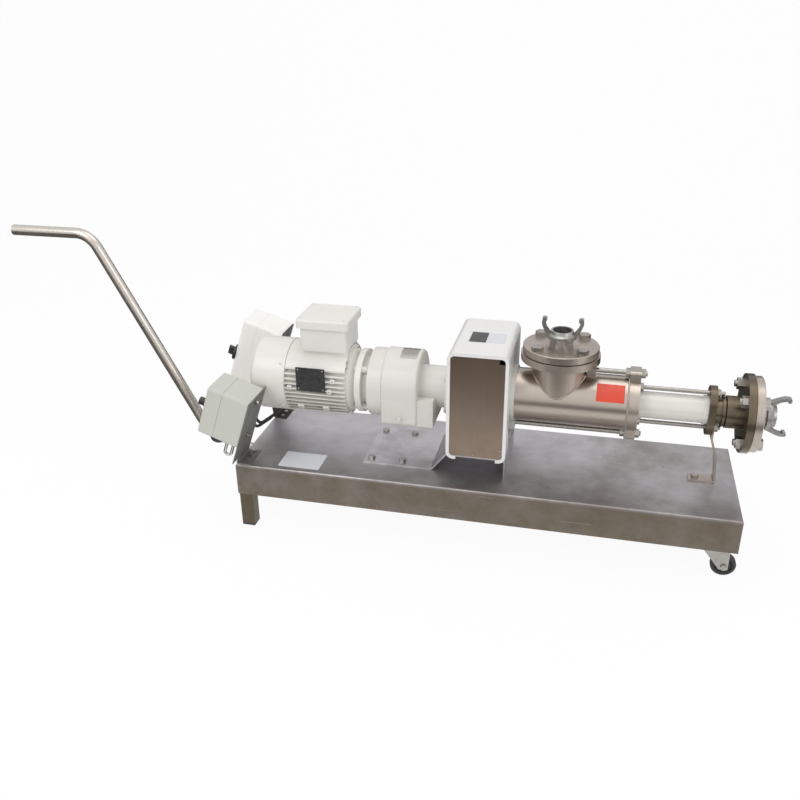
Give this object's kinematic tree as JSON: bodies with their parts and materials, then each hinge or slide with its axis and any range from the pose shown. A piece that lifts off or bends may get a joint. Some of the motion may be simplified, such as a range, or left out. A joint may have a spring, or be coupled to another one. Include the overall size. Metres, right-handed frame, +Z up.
{
  "type": "progressive cavity pump trolley",
  "caption": "Progressive cavity pump with a geared motor, a guarded lantern and flanged ports with claw couplings, on a stainless tray trolley with legs, casters and a pull handle.",
  "frame": {"origin": "floor under the middle of the overall length, on the pump's mid-plane", "axes": "+X along the pump from the handle to the discharge, +Y from the small control box side to the far side, +Z up"},
  "size_m": [1.9394, 0.4, 0.7175],
  "materials": {
    "stainless_sheet": "brushed, lightly soiled",
    "stainless_pump": "satin",
    "polished_steel": "bright",
    "machined_steel": "machined",
    "white_enamel": "satin",
    "white_tube": "gloss",
    "white_moulding": "smooth",
    "grey_moulding": "fine texture",
    "bracket_steel": "dull",
    "guard_sheet": "bright, reflecting",
    "black_plastic": "matt",
    "black_rubber": "matt",
    "tyre": "matt",
    "zinc_plated": "bright zinc",
    "galvanised": "dull grey",
    "gear_steel": "oiled",
    "laminations": "varnished",
    "gasket_white": "matt"
  },
  "bodies": {
    "trolley_and_pump": {"anchor_bolts": "zinc_plated", "ball_bearings": "machined_steel", "bracket_screws": "zinc_plated", "cable_glands": "black_plastic", "caster_bolts": "zinc_plated", "caster_plates": "zinc_plated", "control_cables": "black_rubber", "deck_tray": "stainless_sheet", "discharge_coupling": "galvanised", "discharge_flange": "stainless_pump", "discharge_port": "stainless_pump", "discharge_support": "stainless_pump", "fan_cowl": "white_enamel", "far_bracket": "bracket_steel", "far_control_box": "grey_moulding", "flange_bolts": "zinc_plated", "flange_gaskets": "gasket_white", "gear_adapter": "white_enamel", "gear_housing": "white_enamel", "guard_hood": "white_moulding", "guard_side_plates": "guard_sheet", "handle_flange": "stainless_sheet", "handle_tube": "stainless_sheet", "housing_bolts": "zinc_plated", "lantern": "white_enamel", "lantern_foot": "stainless_sheet", "leg_caps": "black_plastic", "legs": "stainless_sheet", "mid_flange": "stainless_pump", "motor_frame": "white_enamel", "motor_front_shield": "white_enamel", "motor_rear_shield": "white_enamel", "motor_stator_core": "laminations", "near_bracket": "bracket_steel", "near_cable_hook": "polished_steel", "near_cable_inlet": "black_plastic", "near_control_box": "grey_moulding", "pump_casing": "stainless_pump", "shaft_seal": "black_rubber", "stator_lining": "black_rubber", "stator_tube": "white_tube", "suction_coupling": "galvanised", "suction_flange": "stainless_pump", "terminal_box": "white_enamel", "terminal_box_lid": "white_enamel", "tie_rods": "zinc_plated"},
    "drive_line": {"drive_shaft": "machined_steel", "output_wheel": "gear_steel"},
    "connecting_rod": {"connecting_rod": "machined_steel"},
    "rotor": {"pump_rotor": "polished_steel"},
    "motor_rotor": {"motor_shaft": "machined_steel", "motor_pinion": "gear_steel", "cooling_fan": "black_plastic"},
    "intermediate_shaft": {"intermediate_gears": "gear_steel"},
    "near_caster": {"near_caster_fork": "zinc_plated"},
    "near_wheel": {"near_caster_wheel": "tyre"},
    "far_caster": {"far_caster_fork": "zinc_plated"},
    "far_wheel": {"far_caster_wheel": "tyre"},
    "near_knob": {"near_control_knob": "black_plastic"},
    "far_knob": {"far_control_knob": "black_plastic"}
  },
  "joints": [
    {"name": "drive_shaft_spin", "type": "hinge", "parent": "trolley_and_pump", "child": "drive_line", "pos_m": [0.19725, 0, 0.365], "axis": [1, 0, 0], "continuous": true},
    {"name": "connecting_rod_orbit", "type": "hinge", "parent": "drive_line", "child": "connecting_rod", "pos_m": [0.37725, 0, 0.365], "axis": [1, 0, 0], "continuous": true},
    {"name": "rotor_roll", "type": "hinge", "parent": "connecting_rod", "child": "rotor", "pos_m": [0.61325, 0.0045, 0.365], "axis": [1, 0, 0], "continuous": true},
    {"name": "motor_spin", "type": "hinge", "parent": "trolley_and_pump", "child": "motor_rotor", "pos_m": [-0.21775, 0, 0.365], "axis": [1, 0, 0], "continuous": true},
    {"name": "intermediate_spin", "type": "hinge", "parent": "trolley_and_pump", "child": "intermediate_shaft", "pos_m": [0.03025, 0, 0.41], "axis": [1, 0, 0], "continuous": true},
    {"name": "near_caster_swivel", "type": "hinge", "parent": "trolley_and_pump", "child": "near_caster", "pos_m": [0.83725, -0.122, 0.09], "axis": [0, 0, 1], "continuous": true},
    {"name": "near_wheel_roll", "type": "hinge", "parent": "near_caster", "child": "near_wheel", "pos_m": [0.86325, -0.122, 0.029], "axis": [0, 1, 0], "continuous": true},
    {"name": "far_caster_swivel", "type": "hinge", "parent": "trolley_and_pump", "child": "far_caster", "pos_m": [0.83725, 0.122, 0.09], "axis": [0, 0, 1], "continuous": true},
    {"name": "far_wheel_roll", "type": "hinge", "parent": "far_caster", "child": "far_wheel", "pos_m": [0.86325, 0.122, 0.029], "axis": [0, 1, 0], "continuous": true},
    {"name": "near_knob_turn", "type": "hinge", "parent": "trolley_and_pump", "child": "near_knob", "pos_m": [-0.38387, -0.184, 0.35076], "axis": [-0.9455, 0, 0.3256], "range_deg": [0, 270]},
    {"name": "far_switch_turn", "type": "hinge", "parent": "trolley_and_pump", "child": "far_knob", "pos_m": [-0.4286, 0.112, 0.36182], "axis": [-0.9455, 0, 0.3256], "range_deg": [0, 90]}
  ],
  "couplings": [
    {"joint": "connecting_rod_orbit", "follows": "drive_shaft_spin", "ratio": -2},
    {"joint": "rotor_roll", "follows": "drive_shaft_spin", "ratio": 2},
    {"joint": "motor_spin", "follows": "drive_shaft_spin", "ratio": 6.4167},
    {"joint": "intermediate_spin", "follows": "drive_shaft_spin", "ratio": -2.3333}
  ]
}
